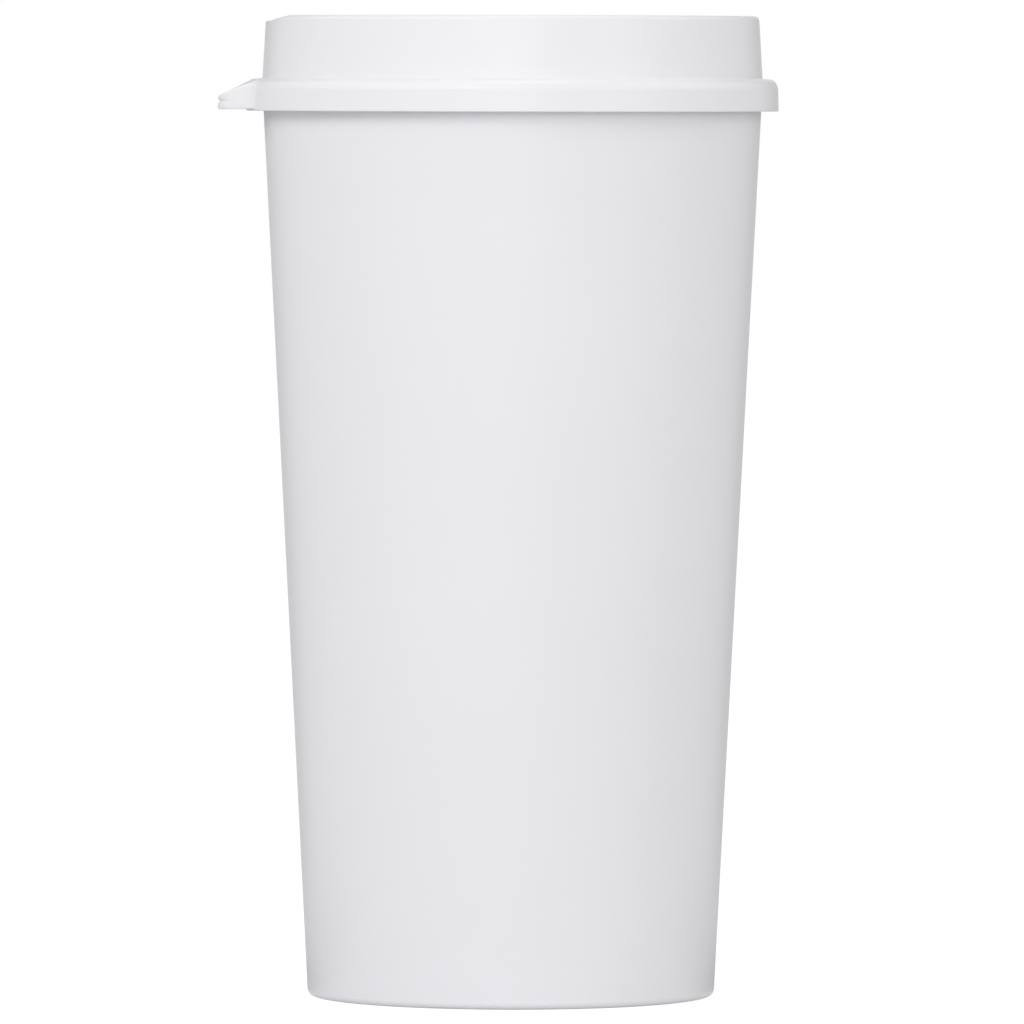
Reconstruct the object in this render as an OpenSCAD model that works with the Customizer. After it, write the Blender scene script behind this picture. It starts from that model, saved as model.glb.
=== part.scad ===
// Travel tumbler: a tapered moulded cup and the press-on lid that closes it.
// All sizes are in millimetres and degrees. The origin is the middle of the base and +Z is up.
// The lid's sip side and its pull tab face -X.

/* [Cup] */
// Height of the cup from its base to the top of its rim
cup_h = 158; // [130:1:190]
// Outside diameter at the base, measured where the wall would meet the table
base_d = 70.6; // [60:0.1:78]
// Outside diameter of the wall at the top of the rim
mouth_d = 86.8; // [82:0.1:100]
// Thickness of the side wall
wall_t = 1.8; // [1.2:0.1:2.6]
// Thickness of the floor
floor_t = 2.2; // [1.4:0.1:4]
// Radius of the outer corner between wall and base
heel_r = 1.2; // [0.6:0.1:2.6]
// Radius of the inner corner between wall and floor
floor_r = 4; // [2:0.5:8]

/* [Foot] */
// Height of the hollow under the base
foot_h = 1.2; // [0.6:0.1:2]
// Width of the flat ring that the cup stands on
foot_w = 3; // [2:0.5:6]
// Radius of the corner where the foot ring turns up into the hollow
foot_r = 0.5; // [0.1:0.1:0.5]
// Diameter of the shallow dimple that the moulding gate leaves in the middle of the base
gate_d = 8; // [4:1:14]
// Depth of the gate's dimple
gate_h = 0.4; // [0.2:0.1:0.8]

/* [Rim] */
// How far the rim's bead stands out from the wall
bead_out = 1; // [0.6:0.1:1.6]
// Height of the bead's upright face
bead_h = 1.8; // [1.2:0.1:2.6]
// Radius of the rim's two top edges
rim_r = 0.6; // [0.2:0.1:0.8]

/* [Lid] */
// Thickness of the lid's deck
deck_t = 1.3; // [1:0.1:2]
// Height of the crown above the deck
crown_h = 10.9; // [6:0.1:16]
// Thickness of the crown's wall, whose top edge is fully round
crown_t = 1.6; // [1.2:0.1:2.2]
// Angle at which the crown leans in
crown_draft = 3.3; // [0:0.1:6]
// Radius of the corner inside the crown, at the deck
crown_fillet_r = 1.5; // [0.5:0.1:2.5]

/* [Skirt] */
// Height of the skirt from its lower edge to the top of its shoulder
skirt_h = 5.6; // [5.4:0.1:8]
// Thickness of the skirt
skirt_t = 1.3; // [1:0.1:1.8]
// Angle at which the skirt flares out downwards
skirt_draft = 1.5; // [0:0.1:2]
// Radius of the rounded shoulder on top of the skirt
shoulder_r = 1.7; // [0.8:0.1:2]
// Gap between the rim's bead and the inside of the skirt
bead_gap = 0.5; // [0.4:0.05:0.7]
// Gap by which the snap ridge inside the skirt clears the bead
snap_gap = 0.1; // [0.05:0.05:0.2]
// Height of the snap ridge, with its two slopes
snap_h = 1.4; // [1:0.1:1.8]

/* [Plug] */
// Depth of the plug that enters the cup's mouth
plug_h = 6; // [4:0.5:10]
// Thickness of the plug's wall
plug_t = 1.3; // [1:0.1:1.8]
// Gap between the plug and the inside of the cup
plug_gap = 0.25; // [0.1:0.05:0.4]

/* [Sip side] */
// Depth of the dip in the crown's edge
dip_d = 0.95; // [0.3:0.05:2]
// Width of the dip at its bottom
dip_flat = 20; // [10:1:26]
// Width of the dip at the crown's edge
dip_w = 35.4; // [28:0.2:50]
// Radius of the two bends at the dip's bottom
dip_bend_r = 30; // [5:1:50]
// Width of the sip slot, from its inner edge to its outer edge
slot_w = 5.2; // [4:0.1:7]
// Length of the sip slot between the centres of its round ends
slot_length = 13; // [6:0.5:24]
// Distance from the sip slot to the inside of the plug
slot_margin = 0.8; // [0.4:0.1:3]
// Diameter of the vent hole
vent_d = 2; // [1:0.1:4]

/* [Pull tab] */
// How far the tab reaches out from the skirt
tab_reach = 4.75; // [4.7:0.05:9]
// Width of the tab at its tip, before the corners are rounded
tab_w = 20; // [14:0.5:28]
// Angle at which each side of the tab widens towards the skirt
tab_flare = 12; // [0:1:20]
// Radius of the tab's two corners, seen from above
tab_corner_r = 4; // [3:0.1:4.2]
// Radius where the tab's sides run into the skirt
tab_root_r = 4.5; // [1:0.5:5]
// Height of the tab's blunt tip
tab_tip_h = 2.25; // [2.2:0.05:3.6]
// Height of the tab's underside above the skirt's lower edge
tab_lift = 0.25; // [0.1:0.05:0.6]
// Drop of the tab's sloping top below the deck, at the skirt
tab_drop = 0.65; // [0.3:0.05:0.8]
// Radius of the tip's upper edge
tab_nose_r = 0.7; // [0.2:0.1:0.8]
// Depth of the finger groove round the tip
groove_d = 0.35; // [0.1:0.05:0.5]
// Height of the finger groove at its mouth
groove_h = 0.7; // [0.4:0.1:0.8]
// Height of the groove's middle above the tab's underside
groove_up = 1.4; // [1:0.05:1.5]
// How far round each corner the groove runs
groove_turn = 58; // [30:1:75]

/* [Hidden] */

$fn = 96;
// Largest turn between two points of a rounded corner
ARC_STEP = 10;
// Fewest steps in a rounded corner
ARC_LEAST = 3;
// Share of a wall that each radius of its full-round edge takes, just short of meeting
FULL_ROUND = 0.499;
// Extra length that cutters run past the faces they cut
OVER = 1;
// Radius of small edges that are only broken, not styled
EDGE_R = 0.25;

// Cup
base_r = base_d / 2;
mouth_r = mouth_d / 2;
wall_slope = (mouth_r - base_r) / cup_h;
bead_r = mouth_r + bead_out;
bead_low_z = cup_h - rim_r - bead_h;
foot_out_r = base_r - heel_r;
foot_in_r = foot_out_r - foot_w;
floor_z = foot_h + floor_t;

// Lid
deck_top_z = cup_h + deck_t;
crown_top_z = deck_top_z + crown_h;
crown_lean = crown_h * tan(crown_draft);
plug_out_r = mouth_r - wall_t - plug_gap;
plug_in_r = plug_out_r - plug_t;
skirt_low_z = deck_top_z - skirt_h;
skirt_in_r = bead_r + bead_gap;
skirt_r = skirt_in_r + skirt_t;
snap_r = bead_r + snap_gap;

// Sip side
slot_r = plug_in_r - slot_margin - slot_w / 2;
slot_turn = slot_length / slot_r * 180 / PI;

// Pull tab
tab_low_z = skirt_low_z + tab_lift;
tab_tip_x = -(skirt_r + tab_reach);
tab_corner_x = tab_tip_x + tab_corner_r;
tab_corner_y = tab_w / 2 - tab_corner_r / tan(45 + tab_flare / 2);
groove_z = tab_low_z + groove_up;

// Outside radius of the cup's wall at a height
function wall_r(z) = base_r + wall_slope * z;

// Inside radius of the cup's wall at a height
function inside_r(z) = wall_r(z) - wall_t;

// Outside radius of the skirt at a height, widest at its lower edge
function skirt_out_r(z) = skirt_r - (z - skirt_low_z) * tan(skirt_draft);

function unit(v) = v / norm(v);

function heading(v) = atan2(v.y, v.x);

// Signed turn from one heading to another, the short way round
function turn(from, to) = (to - from + 540) % 360 - 180;

// Points of the arc that rounds corner b between a and c with radius r
function corner_arc(a, b, c, r) =
    let (
        to_a = unit(a - b),
        to_c = unit(c - b),
        half = acos(to_a * to_c) / 2,
        centre = b + unit(to_a + to_c) * r / sin(half),
        from = heading(b + to_a * r / tan(half) - centre),
        sweep = turn(from, heading(b + to_c * r / tan(half) - centre)),
        steps = max(ARC_LEAST, ceil(abs(sweep) / ARC_STEP))
    )
    [for (i = [0 : steps]) let (h = from + sweep * i / steps) centre + r * [cos(h), sin(h)]];

// Outline through corners given as [x, y, radius], each corner rounded with its own radius
function rounded(corners) =
    let (n = len(corners), at = [for (c = corners) [c.x, c.y]])
    [for (i = [0 : n - 1], p = corners[i].z > 0
        ? corner_arc(at[(i + n - 1) % n], at[i], at[(i + 1) % n], corners[i].z)
        : [at[i]]) p];

// Half section of the cup: base, outside, rim, inside and floor, in that order
cup_section = rounded([
    [0, foot_h + gate_h, 0],
    [gate_d / 2, foot_h + gate_h, 0],
    [gate_d / 2, foot_h, 0],
    [foot_in_r - foot_h, foot_h, 0],
    [foot_in_r, 0, foot_r],
    [base_r, 0, heel_r],
    [wall_r(bead_low_z - bead_out), bead_low_z - bead_out, 0],
    [bead_r, bead_low_z, 0],
    [bead_r, cup_h, rim_r],
    [inside_r(cup_h), cup_h, rim_r],
    [inside_r(floor_z), floor_z, floor_r],
    [0, floor_z, 0],
]);

// Half section of the lid: deck, plug, channel for the rim, skirt, shoulder and crown, in that order
lid_section = rounded([
    [0, cup_h, 0],
    [plug_in_r, cup_h, 0],
    [plug_in_r - wall_slope * plug_h, cup_h - plug_h, EDGE_R],
    [plug_out_r - wall_slope * plug_h, cup_h - plug_h, plug_t / 2],
    [plug_out_r, cup_h, 0],
    [skirt_in_r, cup_h, 0],
    [skirt_in_r, skirt_low_z + EDGE_R + snap_h, 0],
    [snap_r, skirt_low_z + EDGE_R + snap_h / 2, EDGE_R],
    [skirt_in_r, skirt_low_z, EDGE_R],
    [skirt_r, skirt_low_z, EDGE_R],
    [skirt_out_r(deck_top_z), deck_top_z, shoulder_r],
    [mouth_r, deck_top_z, EDGE_R],
    [mouth_r - crown_lean, crown_top_z, crown_t * FULL_ROUND],
    [mouth_r - crown_lean - crown_t, crown_top_z, crown_t * FULL_ROUND],
    [mouth_r - crown_t, deck_top_z, crown_fillet_r],
    [0, deck_top_z, 0],
]);

module cup() {
    color("whitesmoke") rotate_extrude() polygon(cup_section);
}

// The lid's round body, before the tab is added and the openings are cut
module lid_shell() {
    rotate_extrude() polygon(lid_section);
}

// Shallow dip across the crown's edge, where the lips rest
module sip_dip() {
    translate([-mouth_r - OVER, 0, crown_top_z])
        rotate([90, 0, 90])
            linear_extrude(mouth_r + OVER)
                polygon(rounded([
                    [-dip_flat / 2, -dip_d, dip_bend_r],
                    [dip_flat / 2, -dip_d, dip_bend_r],
                    [dip_w / 2, 0, 0],
                    [dip_w / 2, OVER, 0],
                    [-dip_w / 2, OVER, 0],
                    [-dip_w / 2, 0, 0],
                ]));
}

// Curved slot through the deck that the drink comes out of
module sip_slot() {
    translate([0, 0, cup_h - OVER])
        rotate([0, 0, 180 - slot_turn / 2]) {
            rotate_extrude(angle = slot_turn)
                translate([slot_r - slot_w / 2, 0])
                    square([slot_w, deck_t + 2 * OVER]);
            for (end = [0, slot_turn])
                rotate([0, 0, end])
                    translate([slot_r, 0, 0])
                        cylinder(d = slot_w, h = deck_t + 2 * OVER);
        }
}

// Small hole that lets air in behind the drink
module vent_hole() {
    translate([slot_r, 0, cup_h - OVER])
        cylinder(d = vent_d, h = deck_t + 2 * OVER, $fn = 32);
}

// The tab seen from above: a tongue with round corners that flares into the skirt
module tab_plan() {
    seat_r = skirt_in_r + skirt_t / 2;
    side_out = [-sin(tab_flare), cos(tab_flare)];
    side_gap = side_out * [tab_tip_x, tab_w / 2] + tab_root_r;
    along = sqrt(pow(seat_r + tab_root_r, 2) - pow(side_gap, 2));
    root = side_gap * side_out - along * [cos(tab_flare), sin(tab_flare)];
    side = root - tab_root_r * side_out;
    difference() {
        polygon(rounded([
            [0, 0, 0],
            [root.x, root.y, 0],
            [side.x, side.y, 0],
            [tab_tip_x, tab_w / 2, tab_corner_r],
            [tab_tip_x, -tab_w / 2, tab_corner_r],
            [side.x, -side.y, 0],
            [root.x, -root.y, 0],
        ]));
        for (way = [-1, 1])
            translate([root.x, way * root.y]) circle(tab_root_r);
    }
}

// The tab seen from the side: a wedge with a blunt tip
tab_side = rounded([
    [-skirt_in_r, tab_low_z, 0],
    [-skirt_in_r, deck_top_z - tab_drop, 0],
    [-skirt_out_r(deck_top_z - shoulder_r), deck_top_z - tab_drop, 0],
    [tab_tip_x, tab_low_z + tab_tip_h, tab_nose_r],
    [tab_tip_x, tab_low_z, EDGE_R],
]);

// V-shaped finger groove across the tip and partly round both corners
module finger_groove() {
    v_cut = [[-groove_d, 0], [OVER, -groove_h / 2 * (1 + OVER / groove_d)],
        [OVER, groove_h / 2 * (1 + OVER / groove_d)]];
    translate([tab_tip_x, tab_corner_y, groove_z])
        rotate([90, 0, 0])
            linear_extrude(2 * tab_corner_y)
                mirror([1, 0]) polygon(v_cut);
    for (side = [-1, 1])
        translate([tab_corner_x, side * tab_corner_y, groove_z])
            rotate([0, 0, side > 0 ? 180 - groove_turn : 180])
                rotate_extrude(angle = groove_turn)
                    translate([tab_corner_r, 0]) polygon(v_cut);
}

module pull_tab() {
    difference() {
        intersection() {
            translate([0, 0, tab_low_z]) linear_extrude(skirt_h) tab_plan();
            translate([0, tab_w, 0]) rotate([90, 0, 0]) linear_extrude(2 * tab_w) polygon(tab_side);
        }
        cylinder(r = skirt_in_r + skirt_t / 3, h = 2 * deck_top_z);
        finger_groove();
    }
}

module lid() {
    color("white") difference() {
        union() {
            lid_shell();
            pull_tab();
        }
        sip_dip();
        sip_slot();
        vent_hole();
    }
}

cup();
lid();
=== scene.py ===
# Travel tumbler: the satin plastic cup and its press-on lid, on a white studio sweep.
# Lengths are in metres. The base's middle is the origin, +Z is up, and the drinking side faces -X.
import math

import bmesh
import bpy
from mathutils import Matrix, Quaternion, Vector


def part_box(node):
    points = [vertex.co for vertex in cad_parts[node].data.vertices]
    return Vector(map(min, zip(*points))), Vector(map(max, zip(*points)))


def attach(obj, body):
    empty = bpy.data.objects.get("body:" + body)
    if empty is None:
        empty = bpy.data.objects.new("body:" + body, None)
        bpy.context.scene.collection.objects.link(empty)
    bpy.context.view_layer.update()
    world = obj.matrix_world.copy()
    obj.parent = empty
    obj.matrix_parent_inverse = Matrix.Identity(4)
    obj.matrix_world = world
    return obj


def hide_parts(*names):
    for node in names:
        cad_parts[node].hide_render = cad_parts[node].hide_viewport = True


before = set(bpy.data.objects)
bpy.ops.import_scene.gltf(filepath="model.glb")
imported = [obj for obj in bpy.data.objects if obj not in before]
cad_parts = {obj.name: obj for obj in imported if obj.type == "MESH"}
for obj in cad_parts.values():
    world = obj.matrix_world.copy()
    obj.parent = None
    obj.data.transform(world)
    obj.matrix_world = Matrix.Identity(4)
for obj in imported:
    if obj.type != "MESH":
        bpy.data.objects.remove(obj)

bl_info = {
    "name": "Travel Tumbler",
    "version": (1, 0, 0),
    "blender": (4, 5, 0),
    "location": "3D View > Sidebar > Tumbler",
    "description": "Moulds a plastic tumbler with a press-on sip lid and sets it on a white sweep",
    "category": "Add Mesh",
}

CUP_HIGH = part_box("cup")[1]
LID_LOW, LID_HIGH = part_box("lid")
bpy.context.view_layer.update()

TINY = 1e-6  # two places closer than this are the same place


def length(name, description, default, most=1.0):
    """A length that a user can change"""
    return bpy.props.FloatProperty(
        name=name, description=description, default=default, min=0.0, max=most,
        unit="LENGTH", subtype="DISTANCE", precision=5,
    )


def angle(name, description, degrees):
    """An angle that a user can change, given here in degrees"""
    return bpy.props.FloatProperty(
        name=name, description=description, default=math.radians(degrees),
        unit="ROTATION", subtype="ANGLE",
    )


def count(name, description, default):
    """A number of facets that a user can change"""
    return bpy.props.IntProperty(
        name=name, description=description, default=default, min=3, max=1024
    )


def share(name, description, default):
    """A plain number from 0 to 1"""
    return bpy.props.FloatProperty(
        name=name, description=description, default=default, min=0.0, max=1.0, subtype="FACTOR"
    )


def colour(name, description, default):
    """A colour that a user can change"""
    return bpy.props.FloatVectorProperty(
        name=name, description=description, default=default, size=3, min=0.0, max=1.0,
        subtype="COLOR",
    )


class CupSizes(bpy.types.PropertyGroup):
    """Sizes of the moulded cup"""
    height: length("Height", "From the table to the top of the rim", CUP_HIGH.z)
    base_r: length("Base radius", "Outside, where the wall would meet the table", 0.0353)
    mouth_r: length("Mouth radius", "Outside of the wall at the rim", 0.0434)
    wall: length("Wall", "Thickness of the side wall", 0.0018)
    floor: length("Floor", "Thickness of the floor", 0.0022)
    heel_r: length("Heel radius", "Rounding of the outer bottom edge", 0.0012)
    floor_r: length("Floor rounding", "Rounding inside, between wall and floor", 0.004)
    foot_h: length("Foot", "Height of the hollow under the base", 0.0012)
    foot_w: length("Foot ring", "Width of the ring that the cup stands on", 0.003)
    foot_r: length("Foot rounding", "Rounding where the ring turns up into the hollow", 0.0005)
    gate_r: length("Gate radius", "Radius of the dimple in the middle of the base", 0.004)
    gate_h: length("Gate depth", "Depth of the dimple in the middle of the base", 0.0004)
    gate_edge_r: length("Gate edge", "Rounding of the dimple's edges", 0.00016)
    bead_out: length("Bead", "How far the rim's bead stands out", 0.001)
    bead_h: length("Bead height", "Height of the bead's upright face", 0.0018)
    rim_r: length("Rim rounding", "Rounding of the rim's two top edges", 0.0006)
    columns: count("Columns", "Facets round the cup", 320)


class LidSizes(bpy.types.PropertyGroup):
    """Sizes of the moulded lid"""
    top: length("Top", "Height of the crown's edge above the table", LID_HIGH.z)
    deck: length("Deck", "Thickness of the deck", 0.0013)
    crown: length("Crown wall", "Thickness of the crown's wall", 0.0016)
    crown_lean: angle("Crown lean", "How far the crown leans in", 3.3)
    crown_foot_r: length("Crown foot", "Rounding inside the crown, at the deck", 0.0015)
    skirt_h: length("Skirt height", "From the skirt's lower edge to its shoulder", 0.0056)
    skirt: length("Skirt wall", "Thickness of the skirt", 0.0013)
    skirt_flare: angle("Skirt flare", "How far the skirt flares out downwards", 1.5)
    shoulder_r: length("Shoulder", "Rounding on top of the skirt", 0.0017)
    bead_gap: length("Bead gap", "Room between the cup's bead and the skirt", 0.0005)
    snap_gap: length("Snap gap", "Room between the cup's bead and the snap ridge", 0.0001)
    snap_h: length("Snap height", "Height of the snap ridge with its slopes", 0.0014)
    plug_h: length("Plug depth", "How deep the plug enters the cup", 0.006)
    plug: length("Plug wall", "Thickness of the plug", 0.0013)
    plug_gap: length("Plug gap", "Room between the plug and the cup", 0.00025)
    edge_r: length("Edge", "Rounding of small edges", 0.00025)
    skirt_edge_r: length("Skirt edge", "Rounding of the skirt's lower outer edge", 0.0002)
    columns: count("Columns", "Facets round the lid", 400)
    closeness: share("Closeness", "How much closer the facets stand at the tab", 0.55)


class SipSizes(bpy.types.PropertyGroup):
    """Sizes of the drinking side"""
    dip: length("Dip", "Depth of the dip in the crown's edge", 0.00095)
    dip_flat: length("Dip bottom", "Half width of the dip at its bottom", 0.009)
    dip_wide: length("Dip top", "Half width of the dip at the crown's edge", 0.01765)
    dip_edge_r: length("Dip edges", "Rounding of the crown's edges in the dip", 0.0003)
    slot_w: length("Slot width", "Width of the sip slot", 0.0052)
    slot_length: length("Slot length", "Length between the centres of the slot's ends", 0.013)
    slot_margin: length("Slot margin", "From the slot to the inside of the plug", 0.0008)
    slot_edge_r: length("Slot edge", "Rounding of the slot's edges", 0.0003)
    vent_r: length("Vent radius", "Radius of the vent hole", 0.001)
    vent_edge_r: length("Vent edge", "Rounding of the vent hole's edges", 0.0002)


class TabSizes(bpy.types.PropertyGroup):
    """Sizes of the pull tab"""
    tip_x: length("Tip", "Distance of the tab's tip from the axis", -LID_LOW.x)
    half_w: length("Half width", "Half of the tab's width at its tip", 0.010)
    flare: angle("Flare", "How far each side widens towards the skirt", 12.0)
    corner_r: length("Corner", "Rounding of the two corners, seen from above", 0.004)
    root_r: length("Root", "Rounding where the sides run into the skirt", 0.0045)
    lift: length("Lift", "Underside above the skirt's lower edge", 0.00025)
    tip_h: length("Tip height", "From the underside to where slope and tip would meet", 0.00225)
    slope: angle("Slope", "How steeply the top falls towards the tip", 27.1)
    brow_r: length("Brow", "Rounding where the deck bends into the slope", 0.0005)
    nose_r: length("Nose", "Rounding of the tip's upper edge", 0.0007)
    side_r: length("Side edges", "Rounding of the upper edge along both sides", 0.0006)
    under_r: length("Underside edge", "Rounding of the tip's lower edge", 0.00035)
    groove_up: length("Groove height", "Middle of the groove above the underside", 0.0014)
    groove_h: length("Groove", "Height of the groove at its mouth", 0.0008)
    groove_d: length("Groove depth", "Depth of the groove round the tip", 0.00038)
    groove_full: length("Groove starts", "Distance behind the tip where it gets shallower", 0.0003)
    groove_back: length("Groove ends", "Distance behind the tip where it fades out", 0.0022)


class PlasticLook(bpy.types.PropertyGroup):
    """Colours and surface of the two mouldings"""
    cup: colour("Cup", "Colour of the cup's plastic", (0.788, 0.783, 0.812))
    lid: colour("Lid", "Colour of the lid's plastic", (0.797, 0.797, 0.815))
    cup_roughness: share("Cup roughness", "How dull the cup's satin surface is", 0.42)
    lid_roughness: share("Lid roughness", "How dull the lid's satin surface is", 0.38)
    cloudiness: share("Cloudiness", "How much the tone drifts over the moulding", 0.012)
    grain: length("Grain", "Size of the fine satin grain", 0.00045)
    grain_depth: length("Grain depth", "Depth of the fine satin grain", 0.000004)
    ripple: length("Ripple", "Size of the slow unevenness of a moulded wall", 0.018)
    ripple_depth: length("Ripple depth", "Depth of the slow unevenness", 0.00001)


class StageSetup(bpy.types.PropertyGroup):
    """Camera and light"""
    distance: length("Distance", "From the camera to the tumbler's axis", 2.125, 10.0)
    eye_z: length("Eye height", "Height of the camera above the table", 0.161, 10.0)
    aim_x: length("Aim across", "How far right of the axis the camera looks", 0.000056)
    aim_z: length("Aim height", "Height on the axis that the camera looks at", 0.08405)
    view_w: length("View width", "Width of the picture at the axis", 0.17794)
    roll: angle("Roll", "Turn of the camera about its line of sight", 0.11)
    ambient: share("Ambient", "Light from all round", 0.46)
    lamp_level: share("Lamps", "Level of all the lamps", 1.0)
    lamp_size: length("Lamp size", "Side of each square soft box", 0.6, 5.0)
    lamp_away: length("Lamp distance", "From each soft box to the tumbler's middle", 1.6, 10.0)
    card_grey: share("Card grey", "Tone of the grey cards", 0.12)
    card_roughness: share("Card roughness", "How dull the grey cards are", 0.8)
    sweep_size: length("Sweep", "Side of the white floor", 12.0, 100.0)


# Modelling helpers


def only(*objects):
    """Selects these objects and nothing else, the first one active"""
    bpy.ops.object.select_all(action="DESELECT")
    for item in objects:
        item.select_set(True)
    bpy.context.view_layer.objects.active = objects[0]


def select_edges(piece, wanted):
    """In edit mode, selects the edges that the test wants, and returns how many"""
    mesh = bmesh.from_edit_mesh(piece.data)
    for face in mesh.faces:
        face.select = False
    for edge in mesh.edges:
        edge.select = False
    for vertex in mesh.verts:
        vertex.select = False
    found = [edge for edge in mesh.edges if wanted(edge)]
    for edge in found:
        edge.select = True
    mesh.select_flush_mode()
    bmesh.update_edit_mesh(piece.data)
    return len(found)


def from_axis(point):
    """Distance from the upright axis"""
    return math.hypot(point.x, point.y)


def on_ring(radius, z):
    """A test for the edges of one ring"""
    return lambda edge: all(
        abs(from_axis(v.co) - radius) < TINY and abs(v.co.z - z) < TINY for v in edge.verts
    )


def round_selected(offset, segments):
    """In edit mode, rounds the selected edges, which takes this much off each side"""
    bpy.ops.mesh.bevel(
        offset_type="OFFSET", affect="EDGES", segments=segments, profile=0.5,
        offset=offset, clamp_overlap=False,
    )


def corner_reach(before, corner, after, radius):
    """How far along its two sides a corner's rounding starts"""
    to_before = (Vector(before) - Vector(corner)).normalized()
    to_after = (Vector(after) - Vector(corner)).normalized()
    return radius / math.tan(to_before.angle(to_after) / 2)


def turned_piece(name, columns, rings):
    """A closed moulding raised ring by ring; each ring is (radius, z, rounding, segments)"""
    bpy.ops.object.select_all(action="DESELECT")
    first = rings[0]
    bpy.ops.mesh.primitive_circle_add(
        vertices=columns, radius=first[0], fill_type="NOTHING", location=(0.0, 0.0, first[1])
    )
    piece = bpy.context.object
    piece.name = name
    bpy.ops.object.transform_apply(location=True, rotation=True, scale=True)
    bpy.ops.object.mode_set(mode="EDIT")
    bpy.ops.mesh.select_mode(type="EDGE")
    bpy.ops.mesh.select_all(action="SELECT")
    for before, after in zip(rings, rings[1:]):
        bpy.ops.mesh.extrude_region_move(
            TRANSFORM_OT_translate={"value": (0.0, 0.0, after[1] - before[1])}
        )
        scale = after[0] / before[0]
        bpy.ops.transform.resize(value=(scale, scale, 1.0), center_override=(0.0, 0.0, after[1]))
    for end in (rings[0], rings[-1]):
        select_edges(piece, on_ring(end[0], end[1]))
        bpy.ops.mesh.edge_face_add()
    for before, ring, after in zip(rings, rings[1:], rings[2:]):
        if ring[2] > 0.0:
            select_edges(piece, on_ring(ring[0], ring[1]))
            round_selected(corner_reach(before[:2], ring[:2], after[:2], ring[2]), ring[3])
    bpy.ops.mesh.select_all(action="SELECT")
    bpy.ops.mesh.normals_make_consistent(inside=False)
    bpy.ops.object.mode_set(mode="OBJECT")
    return piece


def finish_shading(piece, limit_degrees=33.0):
    """Smooth shading with true corners, and flat faces kept flat"""
    only(piece)
    bpy.ops.object.shade_smooth_by_angle(angle=math.radians(limit_degrees))
    steady = piece.modifiers.new("steady normals", "WEIGHTED_NORMAL")
    steady.mode = "FACE_AREA"
    steady.keep_sharp = True
    bpy.ops.object.modifier_apply(modifier=steady.name)


def cut(piece, cutter):
    """Takes the cutter's shape out of the piece and removes the cutter"""
    only(piece)
    hole = piece.modifiers.new("hole", "BOOLEAN")
    hole.operation = "DIFFERENCE"
    hole.solver = "MANIFOLD"
    hole.object = cutter
    bpy.ops.object.modifier_apply(modifier=hole.name)
    bpy.data.objects.remove(cutter)


def round_edges(piece, wanted, radius, segments):
    """Rounds the edges that the test wants"""
    only(piece)
    bpy.ops.object.mode_set(mode="EDIT")
    bpy.ops.mesh.select_mode(type="EDGE")
    if not select_edges(piece, wanted):
        raise RuntimeError(f"{piece.name} has no such edges to round")
    round_selected(radius, segments)
    bpy.ops.object.mode_set(mode="OBJECT")


def smooth_step(low, high, value):
    """0 below low, 1 above high, and a soft rise between"""
    share_up = min(1.0, max(0.0, (value - low) / (high - low)))
    return share_up * share_up * (3.0 - 2.0 * share_up)


def soft_ramp(value, low_bend, high_bend):
    """The value kept between 0 and 1, with its lower and its upper bend rounded"""
    if value <= -low_bend:
        return 0.0
    if value < low_bend:
        return (value + low_bend) ** 2 / (4.0 * low_bend)
    if value <= 1.0 - high_bend:
        return value
    if value < 1.0 + high_bend:
        return 1.0 - (1.0 + high_bend - value) ** 2 / (4.0 * high_bend)
    return 1.0


def soft_lower(first, second, softness):
    """The lower of two heights, with the change from one to the other rounded"""
    apart = max(0.0, 1.0 - abs(first - second) / (2.0 * softness))
    return min(first, second) - softness * apart * apart / 2.0


def mix(low, high, part):
    """The value that lies this part of the way from low to high"""
    return low + (high - low) * part


# The cup


class TUMBLER_OT_mould_cup(bpy.types.Operator):
    """Mould the cup: foot ring, tapered wall, rim bead and inside, turned ring by ring"""
    bl_idname = "tumbler.mould_cup"
    bl_label = "Mould Cup"

    def execute(self, context):
        s = context.scene.tumbler_cup
        slope = (s.mouth_r - s.base_r) / s.height
        bead_low = s.height - s.rim_r - s.bead_h
        foot_in_r = s.base_r - s.heel_r - s.foot_w
        floor_z = s.foot_h + s.floor
        under_bead = bead_low - s.bead_out
        cup = turned_piece("cup_moulding", s.columns, [
            (s.gate_r - s.gate_h, s.foot_h + s.gate_h, 0.0, 0),
            (s.gate_r, s.foot_h + s.gate_h, s.gate_edge_r, 3),
            (s.gate_r, s.foot_h, s.gate_edge_r, 3),
            (foot_in_r - s.foot_h, s.foot_h, s.foot_r, 4),
            (foot_in_r, 0.0, s.foot_r, 4),
            (s.base_r, 0.0, s.heel_r, 12),
            (s.base_r + slope * under_bead, under_bead, s.rim_r, 4),
            (s.mouth_r + s.bead_out, bead_low, s.rim_r, 4),
            (s.mouth_r + s.bead_out, s.height, s.rim_r, 8),
            (s.mouth_r - s.wall, s.height, s.rim_r, 8),
            (s.base_r + slope * floor_z - s.wall, floor_z, s.floor_r, 12),
            (s.base_r / 2, floor_z, 0.0, 0),
        ])
        finish_shading(cup)
        look = context.scene.tumbler_look
        cup.data.materials.append(plastic("cup_satin", look.cup, look.cup_roughness))
        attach(cup, "cup")
        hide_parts("cup")
        return {"FINISHED"}


# The lid


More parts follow.
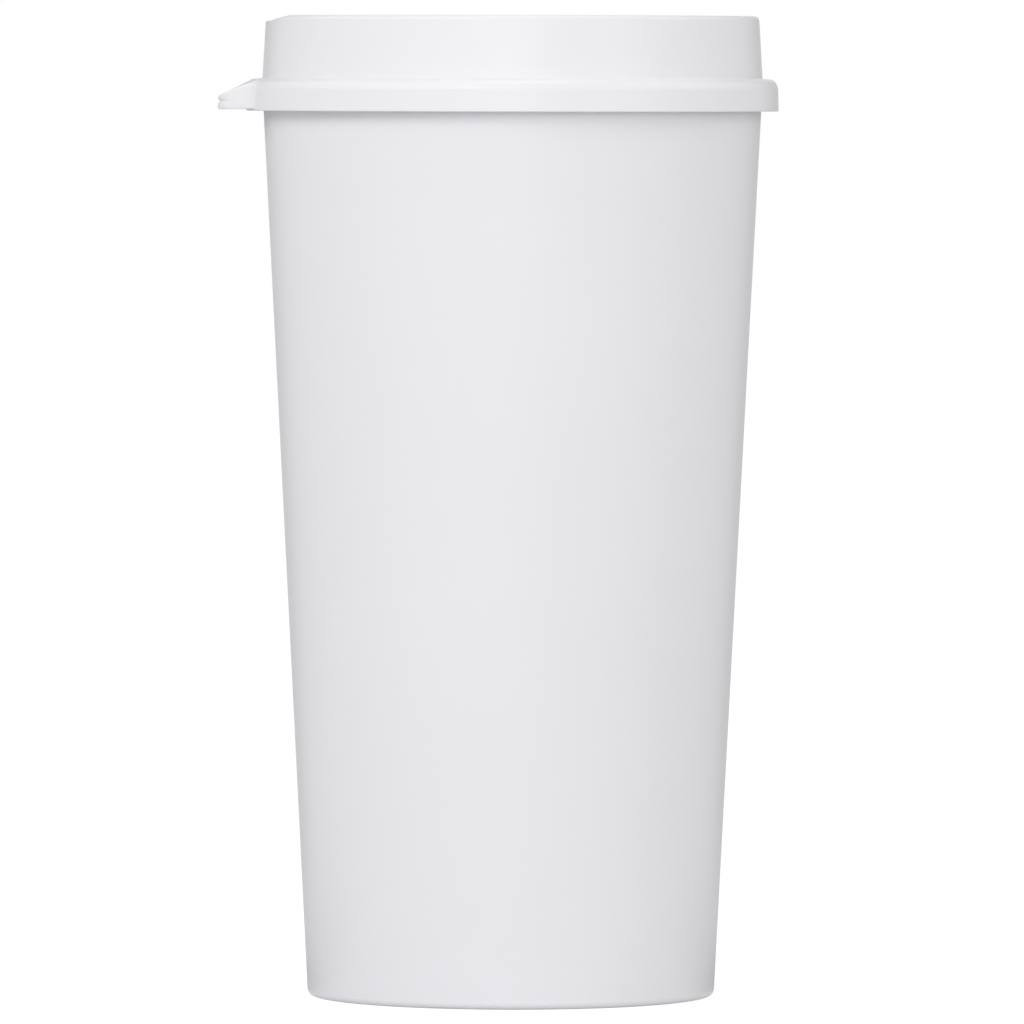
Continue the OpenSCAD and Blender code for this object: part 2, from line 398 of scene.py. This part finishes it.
class LidPlan:
    """The lid's levels and radii, worked out from the sizes"""

    def __init__(self, scene):
        cup, lid, sip, tab = (
            scene.tumbler_cup, scene.tumbler_lid, scene.tumbler_sip, scene.tumbler_tab
        )
        self.lid, self.sip, self.tab = lid, sip, tab
        self.wall_slope = (cup.mouth_r - cup.base_r) / cup.height
        self.under_z = cup.height
        self.deck_z = cup.height + lid.deck
        self.top_z = lid.top
        self.lean = math.tan(lid.crown_lean)
        self.crown_r = cup.mouth_r
        self.crown_top_r = cup.mouth_r - (lid.top - self.deck_z) * self.lean
        self.plug_out_r = cup.mouth_r - cup.wall - lid.plug_gap
        self.plug_in_r = self.plug_out_r - lid.plug
        self.skirt_in_r = cup.mouth_r + cup.bead_out + lid.bead_gap
        self.skirt_r = self.skirt_in_r + lid.skirt
        self.snap_r = cup.mouth_r + cup.bead_out + lid.snap_gap
        self.skirt_z = self.deck_z - lid.skirt_h
        self.slot_r = self.plug_in_r - sip.slot_margin - sip.slot_w / 2
        self.plan_shoulder()
        self.plan_outline()

    def skirt_out(self, z):
        """Outside radius of the skirt at a height"""
        return self.skirt_r - (z - self.skirt_z) * math.tan(self.lid.skirt_flare)

    def plan_shoulder(self):
        """Where the shoulder's rounding is centred, and where the tab starts"""
        lid, tab = self.lid, self.tab
        self.shoulder_r = self.skirt_out(self.deck_z) - lid.shoulder_r
        self.shoulder_z = self.deck_z - lid.shoulder_r
        self.tab_z = self.skirt_z + tab.lift
        self.root_r = self.skirt_out(self.deck_z)

    def plan_outline(self):
        """The tab's outline seen from above, on one side of its middle"""
        tab = self.tab
        normal = Vector((math.sin(tab.flare), math.cos(tab.flare)))
        along = Vector((math.cos(tab.flare), -math.sin(tab.flare)))
        gap = normal.dot(Vector((tab.tip_x, tab.half_w))) + tab.root_r
        seat = self.root_r + tab.root_r
        self.root_at = gap * normal + math.sqrt(seat ** 2 - gap ** 2) * along
        reach = tab.corner_r / math.tan(math.radians(45.0) + tab.flare / 2)
        self.corner_at = Vector((tab.tip_x - tab.corner_r, tab.half_w - reach))
        corner_end = self.corner_at + tab.corner_r * normal
        side_end = self.root_at - tab.root_r * normal
        self.side = (normal, normal.dot(corner_end))
        self.turns = [
            math.atan2(p[1], p[0])
            for p in ((tab.tip_x, self.corner_at.y), corner_end, side_end, self.root_at)
        ]

    def outline(self, turn):
        """Distance of the tab's outline from the axis, in a direction off the tab's middle"""
        turn = abs(turn)
        way = Vector((math.cos(turn), math.sin(turn)))
        tip, corner, side, root = self.turns
        if turn <= tip:
            return self.tab.tip_x / way.x
        if turn <= corner:
            near = way.dot(self.corner_at)
            off_square = self.corner_at.length_squared - self.tab.corner_r ** 2
            return near + math.sqrt(near ** 2 - off_square)
        if turn <= side:
            return self.side[1] / way.dot(self.side[0])
        if turn < root:
            near = way.dot(self.root_at)
            off_square = self.root_at.length_squared - self.tab.root_r ** 2
            return near - math.sqrt(near ** 2 - off_square)
        return self.root_r

    def tab_top(self, radius, turn):
        """Height of the tab's top: level with the deck, then sloping down to a straight tip"""
        tab = self.tab
        part = min(1.0, max(0.0, (radius - self.shoulder_r) / (tab.tip_x - self.shoulder_r)))
        out = mix(radius, radius * math.cos(turn), part)
        fall = self.tab_z + tab.tip_h + (tab.tip_x - out) * math.tan(tab.slope)
        return soft_lower(self.deck_z, fall, tab.brow_r * math.tan(tab.slope) / 2)


QUARTER = math.radians(90.0)
UNDER_STEPS = 4         # steps of the rounding under the tab's tip
GROOVE_STEPS = 8        # steps across the groove
NOSE_STEPS = 12         # steps of the rounding above the tab's tip
SHOULDER_STEPS = 18     # steps of the shoulder, which the tab's sloping top is drawn from
FLAT_ROWS = 5           # the rows that end the flat stretches between the rounded ones
TAB_ROWS = UNDER_STEPS + GROOVE_STEPS + NOSE_STEPS + FLAT_ROWS
UNDER_MOST = 0.4        # where the tab runs out, its lower rounding takes this part of its reach
NOSE_MOST = 0.8         # and its upper rounding this part
BELOW_GROOVE = 0.7      # how far up from the lower rounding to the groove the row between lies


def tab_rows(plan, outline, turn):
    """The tab's section in one direction, from the skirt's face under it to the top of its nose"""
    tab = plan.tab
    reach = outline - plan.root_r
    fullness = 1.0 - smooth_step(plan.turns[2], plan.turns[3], abs(turn))
    behind_tip = tab.tip_x - outline * math.cos(turn)
    groove = tab.groove_d * (1.0 - smooth_step(tab.groove_full, tab.groove_back, behind_tip))
    under = min(tab.under_r, reach * UNDER_MOST)
    nose = mix(tab.nose_r, tab.side_r, smooth_step(plan.turns[0], plan.turns[1], abs(turn)))
    nose = min(nose, reach * NOSE_MOST)
    low = plan.tab_z
    rows = [(plan.root_r, low), (mix(plan.root_r, outline - under, 0.5), low)]
    for step in range(UNDER_STEPS + 1):
        a = QUARTER * step / UNDER_STEPS
        rows.append((outline - under * (1.0 - math.sin(a)), low + under * (1.0 - math.cos(a))))
    groove_z = low + tab.groove_up
    rows.append((outline, mix(low + tab.under_r, groove_z - tab.groove_h / 2, BELOW_GROOVE)))
    for step in range(GROOVE_STEPS + 1):
        across = step / GROOVE_STEPS * 2.0 - 1.0
        depth = groove * (0.5 + 0.5 * math.cos(math.pi * across))
        rows.append((outline - depth, groove_z + tab.groove_h / 2 * across))
    centre_r = outline - nose
    centre_z = plan.tab_top(centre_r, turn) - nose / math.cos(tab.slope)
    for step in range(NOSE_STEPS):
        a = (QUARTER - tab.slope) * step / (NOSE_STEPS - 1)
        rows.append((centre_r + nose * math.cos(a), centre_z + nose * math.sin(a)))
    return rows, fullness, reach


def on_outer_skirt(plan, radius, z):
    """Whether a place lies on the skirt's outside above the tab's underside, or on the shoulder"""
    if z <= plan.shoulder_z + TINY:
        return z >= plan.tab_z - TINY and radius > plan.skirt_in_r + plan.lid.skirt / 2
    off_centre = math.hypot(radius - plan.shoulder_r, z - plan.shoulder_z)
    return radius > plan.shoulder_r + TINY and abs(off_centre - plan.lid.shoulder_r) < TINY


def pull_out_tab(lid, plan):
    """Draws the skirt's wall out into the tab, column by column"""
    wall_low, wall_high = plan.tab_z, plan.shoulder_z
    known = {}
    for vertex in lid.data.vertices:
        place = vertex.co
        turn = math.atan2(place.y, -place.x)
        radius = from_axis(place)
        if abs(turn) >= plan.turns[-1] or not on_outer_skirt(plan, radius, place.z):
            continue
        key = round(turn, 5)
        if key not in known:
            known[key] = tab_rows(plan, plan.outline(turn), turn)
        rows, fullness, reach = known[key]
        if place.z <= wall_high + TINY:
            row = round((place.z - wall_low) / (wall_high - wall_low) * (TAB_ROWS - 1))
            swept_r = radius + reach
            tab_r, tab_z = rows[row]
        else:
            up = math.atan2(place.z - plan.shoulder_z, radius - plan.shoulder_r)
            part = 1.0 - up / QUARTER
            swept_r = radius + reach * part
            tab_r = mix(plan.shoulder_r, rows[-1][0], part)
            tab_z = plan.tab_top(tab_r, turn)
        new_r = mix(swept_r, tab_r, fullness)
        place.x *= new_r / radius
        place.y *= new_r / radius
        place.z = mix(place.z, tab_z, fullness)


DIP_BENDS = (0.05, 0.25)    # how soft the dip's upper and lower bends are, as parts of its slope
EDGE_ENDS = 0.2             # how far under its centre the edge's rounding may end, of its radius
SQUARE_TURN = 60.0          # degrees up the edge's side that become the squared edge's corner
SQUARE_DEPTHS = (0.00005, 0.0006)   # depths of the dip where its edge starts and ends to square


def press_dip(lid, plan):
    """Lowers the crown's edge on the drinking side, and squares its rounding there"""
    half = plan.lid.crown / 2
    middle_r = plan.crown_top_r - half
    centre_z = plan.top_z - half
    sip = plan.sip
    for vertex in lid.data.vertices:
        place = vertex.co
        if place.x > 0.0 or place.z < centre_z - half * EDGE_ENDS:
            continue
        radius = from_axis(place)
        fall = (sip.dip_wide - abs(place.y)) / (sip.dip_wide - sip.dip_flat)
        depth = sip.dip * soft_ramp(fall, DIP_BENDS[0], DIP_BENDS[1])
        if depth <= 0.0:
            continue
        side = 1.0 if radius > middle_r else -1.0
        height = max(0.0, place.z - centre_z)
        from_side = math.degrees(math.atan2(height, abs(radius - middle_r)))
        if from_side < SQUARE_TURN:
            a = QUARTER * from_side / SQUARE_TURN
            out = half - sip.dip_edge_r * (1.0 - math.cos(a))
            down = sip.dip_edge_r * (1.0 - math.sin(a))
        else:
            out = (half - sip.dip_edge_r) * (90.0 - from_side) / (90.0 - SQUARE_TURN)
            down = 0.0
        squared = smooth_step(*SQUARE_DEPTHS, depth)
        offset = mix(radius - middle_r, side * out, squared) + depth * plan.lean
        new_r = middle_r + offset
        place.z = plan.top_z - depth + mix(place.z - plan.top_z, -down, squared)
        place.x *= new_r / radius
        place.y *= new_r / radius


SLOT_END_SIDES = 42     # sides of the slot's two round ends together
SLOT_STEPS = 24         # steps along the slot
VENT_SIDES = 32
CUTTER_H = 3.0          # height of a cutter, in thicknesses of the deck
CUT_ROOM = 0.00002      # how far off its outline the edges of a cut are still found


def slot_cutter(plan):
    """A curved bar with round ends, as wide and long as the sip slot"""
    sip = plan.sip
    half = sip.slot_length / 2
    bpy.ops.object.select_all(action="DESELECT")
    bpy.ops.mesh.primitive_cylinder_add(
        vertices=SLOT_END_SIDES, radius=sip.slot_w / 2, depth=plan.lid.deck * CUTTER_H,
        location=(-plan.slot_r, 0.0, (plan.under_z + plan.deck_z) / 2),
    )
    bar = bpy.context.object
    bpy.ops.object.transform_apply(location=True, rotation=True, scale=True)
    bpy.ops.object.mode_set(mode="EDIT")
    bpy.ops.mesh.select_mode(type="EDGE")
    for way in (-1.0, 1.0):
        select_edges(bar, lambda edge, way=way: all(v.co.y * way > 0.0 for v in edge.verts))
        bpy.ops.transform.translate(value=(0.0, way * half, 0.0))
    select_edges(bar, lambda edge: abs(edge.verts[0].co.y - edge.verts[1].co.y) > half)
    bpy.ops.mesh.subdivide(number_cuts=SLOT_STEPS - 1)
    bpy.ops.object.mode_set(mode="OBJECT")
    for vertex in bar.data.vertices:
        place = vertex.co
        along = max(-half, min(half, place.y))
        turn = -along / plan.slot_r
        place.xy = Matrix.Rotation(turn, 2) @ Vector((place.x, place.y - along))
    return bar


def in_slot(plan, place):
    """Whether a place lies on the slot's outline or inside it"""
    half_turn = plan.sip.slot_length / plan.slot_r / 2
    turn = max(-half_turn, min(half_turn, math.atan2(place.y, -place.x)))
    middle = Vector((-plan.slot_r * math.cos(turn), plan.slot_r * math.sin(turn)))
    return (place.xy - middle).length < plan.sip.slot_w / 2 + CUT_ROOM


def wall_beside(edge):
    """Whether one of the edge's two faces stands upright and the other lies flat"""
    upright = [abs(face.normal.z) < 0.5 for face in edge.link_faces]
    return len(upright) == 2 and upright[0] != upright[1]


def round_opening(lid, plan, inside, radius, segments):
    """Rounds an opening's edges, on top of the deck and under it"""
    for z in (plan.deck_z, plan.under_z):
        round_edges(lid, lambda edge, z=z: all(
            abs(v.co.z - z) < TINY and inside(v.co) for v in edge.verts
        ) and wall_beside(edge), radius, segments)


def open_slot(lid, plan):
    """Cuts the sip slot and rounds its edges"""
    cut(lid, slot_cutter(plan))
    round_opening(lid, plan, lambda place: in_slot(plan, place), plan.sip.slot_edge_r, 4)


def open_vent(lid, plan):
    """Drills the vent hole and rounds its edges"""
    sip = plan.sip
    bpy.ops.object.select_all(action="DESELECT")
    bpy.ops.mesh.primitive_cylinder_add(
        vertices=VENT_SIDES, radius=sip.vent_r, depth=plan.lid.deck * CUTTER_H,
        location=(plan.slot_r, 0.0, (plan.under_z + plan.deck_z) / 2),
    )
    cut(lid, bpy.context.object)
    middle = Vector((plan.slot_r, 0.0))
    round_opening(
        lid, plan, lambda place: (place.xy - middle).length < sip.vent_r + CUT_ROOM,
        sip.vent_edge_r, 3,
    )


def gather_columns(lid, closeness):
    """Slides the lid's columns round towards the tab, so that they stand closer together there"""
    for vertex in lid.data.vertices:
        radius = from_axis(vertex.co)
        turn = math.atan2(vertex.co.y, -vertex.co.x)
        turn -= closeness * math.sin(turn)
        vertex.co.x = -radius * math.cos(turn)
        vertex.co.y = radius * math.sin(turn)


def skirt_rings(plan):
    """The rings of the skirt's outside and of its shoulder, which the tab is drawn from"""
    rings = []
    for row in range(TAB_ROWS):
        z = mix(plan.tab_z, plan.shoulder_z, row / (TAB_ROWS - 1))
        rings.append((plan.skirt_out(z), z, 0.0, 0))
    round_r = plan.lid.shoulder_r
    for step in range(1, SHOULDER_STEPS + 1):
        a = QUARTER * step / SHOULDER_STEPS
        r, z = plan.shoulder_r + round_r * math.cos(a), plan.shoulder_z + round_r * math.sin(a)
        rings.append((r, z, 0.0, 0))
    return rings


ALMOST_HALF = 0.499     # of the crown's wall, so that its edge's two roundings just don't meet
DECK_EDGE = 0.0003      # flat strip between the crown's foot and the first ring of the deck


class TUMBLER_OT_mould_lid(bpy.types.Operator):
    """Mould the lid: plug, rim channel, skirt, shoulder, crown, tab, dip, slot and vent"""
    bl_idname = "tumbler.mould_lid"
    bl_label = "Mould Lid"

    def execute(self, context):
        plan = LidPlan(context.scene)
        s = plan.lid
        tip_r = plan.plug_out_r - plan.wall_slope * s.plug_h
        plug_z = plan.under_z - s.plug_h
        ridge_top = plan.skirt_z + s.edge_r + s.snap_h
        crown_in_r = plan.crown_r - s.crown
        lid = turned_piece("lid_moulding", s.columns, [
            (plan.plug_in_r, plan.under_z, 0.0, 0),
            (tip_r - s.plug, plug_z, s.edge_r, 4),
            (tip_r, plug_z, s.plug / 2, 8),
            (plan.plug_out_r, plan.under_z, s.edge_r, 4),
            (plan.skirt_in_r, plan.under_z, s.edge_r, 4),
            (plan.skirt_in_r, ridge_top, s.edge_r, 3),
            (plan.snap_r, ridge_top - s.snap_h / 2, s.edge_r, 5),
            (plan.skirt_in_r, plan.skirt_z, s.edge_r, 4),
            (plan.skirt_r, plan.skirt_z, s.skirt_edge_r, 4),
            *skirt_rings(plan),
            (plan.crown_r, plan.deck_z, s.edge_r, 4),
            (plan.crown_top_r, plan.top_z, s.crown * ALMOST_HALF, 10),
            (plan.crown_top_r - s.crown, plan.top_z, s.crown * ALMOST_HALF, 10),
            (crown_in_r, plan.deck_z, s.crown_foot_r, 10),
            (crown_in_r - s.crown_foot_r - DECK_EDGE, plan.deck_z, 0.0, 0),
        ])
        gather_columns(lid, s.closeness)
        pull_out_tab(lid, plan)
        press_dip(lid, plan)
        open_slot(lid, plan)
        open_vent(lid, plan)
        finish_shading(lid)
        look = context.scene.tumbler_look
        lid.data.materials.clear()
        lid.data.materials.append(plastic("lid_satin", look.lid, look.lid_roughness))
        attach(lid, "lid")
        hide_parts("lid")
        return {"FINISHED"}


# Materials


CLOUD_SCALE = 28.0          # cloudy patches of tone to a metre
CLOUD_DETAIL = 3.0
CLOUD_RANGE = (0.3, 0.7)    # the part of the noise that is used from full drift to none
GRAIN_DETAIL = 2.0
GRAIN_DULLS = 0.08          # how much duller the surface is on top of a grain
RIPPLE_DETAIL = 1.0
PLASTIC_IOR = 1.49          # polypropylene
MIX_A, MIX_B, MIX_RESULT = 6, 7, 2      # the mix node's sockets for colours


def satin_group():
    """The moulded satin surface: a slow drift of tone, a fine grain and a slow ripple"""
    if "satin moulding" in bpy.data.node_groups:
        return bpy.data.node_groups["satin moulding"]
    group = bpy.data.node_groups.new("satin moulding", "ShaderNodeTree")
    face = group.interface
    face.new_socket("Colour", in_out="INPUT", socket_type="NodeSocketColor")
    for name in (
        "Roughness", "Cloudiness", "Grain Scale", "Grain Depth", "Ripple Scale", "Ripple Depth"
    ):
        face.new_socket(name, in_out="INPUT", socket_type="NodeSocketFloat")
    face.new_socket("Colour", in_out="OUTPUT", socket_type="NodeSocketColor")
    face.new_socket("Roughness", in_out="OUTPUT", socket_type="NodeSocketFloat")
    face.new_socket("Normal", in_out="OUTPUT", socket_type="NodeSocketVector")
    nodes, links = group.nodes, group.links
    given = nodes.new("NodeGroupInput")
    result = nodes.new("NodeGroupOutput")
    place = nodes.new("ShaderNodeTexCoord")

    def noise(detail):
        """A noise that stays with the moulding"""
        texture = nodes.new("ShaderNodeTexNoise")
        texture.inputs["Detail"].default_value = detail
        links.new(place.outputs["Object"], texture.inputs["Vector"])
        return texture

    def relief(texture, depth):
        """A bump of the texture, as deep as the named input says"""
        bump = nodes.new("ShaderNodeBump")
        links.new(texture.outputs["Fac"], bump.inputs["Height"])
        links.new(given.outputs[depth], bump.inputs["Distance"])
        return bump

    cloud = noise(CLOUD_DETAIL)
    cloud.inputs["Scale"].default_value = CLOUD_SCALE
    drift = nodes.new("ShaderNodeMapRange")
    drift.inputs["From Min"].default_value = CLOUD_RANGE[0]
    drift.inputs["From Max"].default_value = CLOUD_RANGE[1]
    drift.inputs["To Max"].default_value = 1.0
    links.new(cloud.outputs["Fac"], drift.inputs["Value"])
    lowest = nodes.new("ShaderNodeMath")
    lowest.operation = "SUBTRACT"
    lowest.inputs[0].default_value = 1.0
    links.new(given.outputs["Cloudiness"], lowest.inputs[1])
    links.new(lowest.outputs[0], drift.inputs["To Min"])
    tone = nodes.new("ShaderNodeMix")
    tone.data_type = "RGBA"
    tone.blend_type = "MULTIPLY"
    tone.inputs["Factor"].default_value = 1.0
    links.new(given.outputs["Colour"], tone.inputs[MIX_A])
    links.new(drift.outputs["Result"], tone.inputs[MIX_B])
    links.new(tone.outputs[MIX_RESULT], result.inputs["Colour"])

    grain = noise(GRAIN_DETAIL)
    links.new(given.outputs["Grain Scale"], grain.inputs["Scale"])
    dull = nodes.new("ShaderNodeMath")
    dull.operation = "MULTIPLY_ADD"
    dull.inputs[1].default_value = GRAIN_DULLS
    links.new(grain.outputs["Fac"], dull.inputs[0])
    links.new(given.outputs["Roughness"], dull.inputs[2])
    links.new(dull.outputs[0], result.inputs["Roughness"])

    ripple = noise(RIPPLE_DETAIL)
    links.new(given.outputs["Ripple Scale"], ripple.inputs["Scale"])
    slow = relief(ripple, "Ripple Depth")
    fine = relief(grain, "Grain Depth")
    links.new(slow.outputs["Normal"], fine.inputs["Normal"])
    links.new(fine.outputs["Normal"], result.inputs["Normal"])
    return group


def plastic(name, tint, roughness):
    """Satin polypropylene in the given colour"""
    look = bpy.context.scene.tumbler_look
    material = bpy.data.materials.new(name)
    material.use_nodes = True
    nodes, links = material.node_tree.nodes, material.node_tree.links
    shader = nodes["Principled BSDF"]
    satin = nodes.new("ShaderNodeGroup")
    satin.node_tree = satin_group()
    satin.inputs["Colour"].default_value = (*tint, 1.0)
    satin.inputs["Roughness"].default_value = roughness
    satin.inputs["Cloudiness"].default_value = look.cloudiness
    satin.inputs["Grain Scale"].default_value = 1.0 / look.grain
    satin.inputs["Grain Depth"].default_value = look.grain_depth
    satin.inputs["Ripple Scale"].default_value = 1.0 / look.ripple
    satin.inputs["Ripple Depth"].default_value = look.ripple_depth
    shader.inputs["IOR"].default_value = PLASTIC_IOR
    links.new(satin.outputs["Colour"], shader.inputs["Base Color"])
    links.new(satin.outputs["Roughness"], shader.inputs["Roughness"])
    links.new(satin.outputs["Normal"], shader.inputs["Normal"])
    return material


# The stage


PAPER_TONE = 0.75       # of the white paper that the light falls on
PAPER_GLOW = 1.19       # level of the plain white that the camera sees instead
PAPER_SEEN = 0.2        # how much of the lit paper the camera still sees, for the soft shadow


def seen_directly(tree):
    """1 for what the camera sees by itself or in a reflection, 0 for light on its way"""
    path = tree.nodes.new("ShaderNodeLightPath")
    direct = tree.nodes.new("ShaderNodeMath")
    direct.operation = "MAXIMUM"
    tree.links.new(path.outputs["Is Camera Ray"], direct.inputs[0])
    tree.links.new(path.outputs["Is Glossy Ray"], direct.inputs[1])
    return direct.outputs[0]


def floor_material():
    """White paper that the camera sees as plain white, with the tumbler's soft shadow kept"""
    paper = bpy.data.materials.new("sweep_paper")
    paper.use_nodes = True
    nodes, links = paper.node_tree.nodes, paper.node_tree.links
    nodes.clear()
    out = nodes.new("ShaderNodeOutputMaterial")
    lit = nodes.new("ShaderNodeBsdfDiffuse")
    lit.inputs["Color"].default_value = (PAPER_TONE,) * 3 + (1.0,)
    glow = nodes.new("ShaderNodeEmission")
    glow.inputs["Strength"].default_value = PAPER_GLOW
    seen = nodes.new("ShaderNodeMixShader")
    seen.inputs["Fac"].default_value = PAPER_SEEN
    links.new(glow.outputs[0], seen.inputs[1])
    links.new(lit.outputs[0], seen.inputs[2])
    choose = nodes.new("ShaderNodeMixShader")
    links.new(seen_directly(paper.node_tree), choose.inputs["Fac"])
    links.new(lit.outputs[0], choose.inputs[1])
    links.new(seen.outputs[0], choose.inputs[2])
    links.new(choose.outputs[0], out.inputs["Surface"])
    return paper


def white_world(ambient):
    """A world that looks white and lights the tumbler evenly at a lower level"""
    world = bpy.data.worlds.new("white_room")
    bpy.context.scene.world = world
    world.use_nodes = True
    nodes, links = world.node_tree.nodes, world.node_tree.links
    nodes.clear()
    out = nodes.new("ShaderNodeOutputWorld")
    back = nodes.new("ShaderNodeBackground")
    back.inputs["Color"].default_value = (1.0, 1.0, 1.0, 1.0)
    level = nodes.new("ShaderNodeMapRange")
    level.inputs["To Min"].default_value = ambient
    level.inputs["To Max"].default_value = 1.0
    links.new(seen_directly(world.node_tree), level.inputs["Value"])
    links.new(level.outputs["Result"], back.inputs["Strength"])
    links.new(back.outputs[0], out.inputs["Surface"])


# Each soft box: turn from the camera's side, positive to the right, height angle, watts
LAMPS = {
    "front": (0.0, 12.0, 4.3),
    "front_high": (-20.0, 30.0, 3.95),
    "left_front": (-50.0, 30.0, 3.6),
    "left": (-90.0, 30.0, 1.95),
    "right_front": (50.0, 12.0, 2.45),
    "right": (90.0, 30.0, 3.0),
    "top": (0.0, 85.0, 3.4),
}


def direction(turn, up):
    """The way to a place at this turn from the camera's side, positive to the right, and height"""
    turn, up = math.radians(turn), math.radians(up)
    return Vector((math.sin(turn) * math.cos(up), -math.cos(turn) * math.cos(up), math.sin(up)))


def soft_box(name, turn, up, watts, setup):
    """A square soft box that points at the tumbler's middle"""
    data = bpy.data.lights.new(name, "AREA")
    data.energy = watts * setup.lamp_level
    data.size = setup.lamp_size
    box = bpy.data.objects.new(name, data)
    bpy.context.scene.collection.objects.link(box)
    away = direction(turn, up)
    box.location = Vector((0.0, 0.0, LID_HIGH.z / 2)) + away * setup.lamp_away
    box.rotation_euler = away.to_track_quat("Z", "Y").to_euler()


# Each grey card: its middle, its width and height, and the way it faces as turn and height angle
CARDS = {
    "side_card_left": ((-0.1225, 0.15, 0.25), (0.075, 0.5), (180.0, 0.0)),
    "side_card_right": ((0.1225, 0.15, 0.25), (0.075, 0.5), (180.0, 0.0)),
    "foot_card_left": ((-0.0685, 0.03, 0.0005), (0.063, 0.08), (180.0, 90.0)),
    "foot_card_right": ((0.0685, 0.03, 0.0005), (0.063, 0.08), (180.0, 90.0)),
    "tab_card": ((-0.066, 0.049, 0.186), (0.04, 0.04), (-160.0, 30.0)),
}


def grey_card(name, middle, size, facing, setup):
    """A card that the camera doesn't see, whose dark reflection draws the tumbler's white edge"""
    bpy.ops.mesh.primitive_plane_add(size=1.0)
    card = bpy.context.object
    card.name = name
    card.scale = (size[0], size[1], 1.0)
    card.rotation_euler = direction(*facing).to_track_quat("Z", "Y").to_euler()
    card.location = middle
    bpy.ops.object.transform_apply(location=True, rotation=True, scale=True)
    card.visible_camera = False
    card.visible_shadow = False
    card.visible_diffuse = not name.startswith("foot")   # one on the floor would darken it
    grey = bpy.data.materials.get("card_grey") or bpy.data.materials.new("card_grey")
    grey.use_nodes = True
    shader = grey.node_tree.nodes["Principled BSDF"]
    shader.inputs["Base Color"].default_value = (setup.card_grey,) * 3 + (1.0,)
    shader.inputs["Roughness"].default_value = setup.card_roughness
    card.data.materials.append(grey)


class TUMBLER_OT_set_stage(bpy.types.Operator):
    """Set the white sweep, the soft lamps, the grey cards and the camera"""
    bl_idname = "tumbler.set_stage"
    bl_label = "Set Stage"

    def execute(self, context):
        s = context.scene.tumbler_stage
        bpy.ops.object.select_all(action="DESELECT")
        bpy.ops.mesh.primitive_plane_add(size=s.sweep_size)
        sweep = bpy.context.object
        sweep.name = "sweep"
        sweep.data.materials.append(floor_material())
        white_world(s.ambient)
        for name, (turn, up, watts) in LAMPS.items():
            soft_box(name, turn, up, watts, s)
        for name, (middle, size, facing) in CARDS.items():
            grey_card(name, middle, size, facing, s)
        self.place_camera(context, s)
        context.scene.view_settings.view_transform = "Standard"
        return {"FINISHED"}

    def place_camera(self, context, s):
        """Stands the camera where the photograph was taken from"""
        eye = Vector((s.aim_x, -s.distance, s.eye_z))
        target = Vector((s.aim_x, 0.0, s.aim_z))
        data = bpy.data.cameras.new("photo_camera")
        data.lens = data.sensor_width * (target - eye).length / s.view_w
        camera = bpy.data.objects.new("photo_camera", data)
        context.scene.collection.objects.link(camera)
        camera.location = eye
        camera.rotation_mode = "QUATERNION"
        look = (target - eye).to_track_quat("-Z", "Y")
        camera.rotation_quaternion = look @ Quaternion((0.0, 0.0, 1.0), s.roll)
        context.scene.camera = camera


class VIEW3D_PT_tumbler(bpy.types.Panel):
    """Sizes, colours and steps of the tumbler"""
    bl_label = "Travel Tumbler"
    bl_idname = "VIEW3D_PT_tumbler"
    bl_space_type = "VIEW_3D"
    bl_region_type = "UI"
    bl_category = "Tumbler"

    def draw(self, context):
        for title, holder in GROUPS.items():
            box = self.layout.box()
            box.label(text=title)
            group = getattr(context.scene, holder[0])
            for name in holder[1].__annotations__:
                box.prop(group, name)
        for step in STEPS:
            self.layout.operator(step.bl_idname)


GROUPS = {
    "Cup": ("tumbler_cup", CupSizes),
    "Lid": ("tumbler_lid", LidSizes),
    "Drinking side": ("tumbler_sip", SipSizes),
    "Pull tab": ("tumbler_tab", TabSizes),
    "Plastic": ("tumbler_look", PlasticLook),
    "Stage": ("tumbler_stage", StageSetup),
}
STEPS = (TUMBLER_OT_mould_cup, TUMBLER_OT_mould_lid, TUMBLER_OT_set_stage)


def register():
    """Adds the sizes, the steps and the panel to Blender"""
    for holder, group in GROUPS.values():
        bpy.utils.register_class(group)
        setattr(bpy.types.Scene, holder, bpy.props.PointerProperty(type=group))
    for step in STEPS:
        bpy.utils.register_class(step)
    bpy.utils.register_class(VIEW3D_PT_tumbler)


def unregister():
    """Takes them out again"""
    bpy.utils.unregister_class(VIEW3D_PT_tumbler)
    for step in reversed(STEPS):
        bpy.utils.unregister_class(step)
    for holder, group in reversed(GROUPS.values()):
        delattr(bpy.types.Scene, holder)
        bpy.utils.unregister_class(group)


def main():
    """Makes every piece and sets the stage"""
    register()
    bpy.ops.tumbler.mould_cup()
    bpy.ops.tumbler.mould_lid()
    bpy.ops.tumbler.set_stage()


if __name__ == "__main__":
    main()
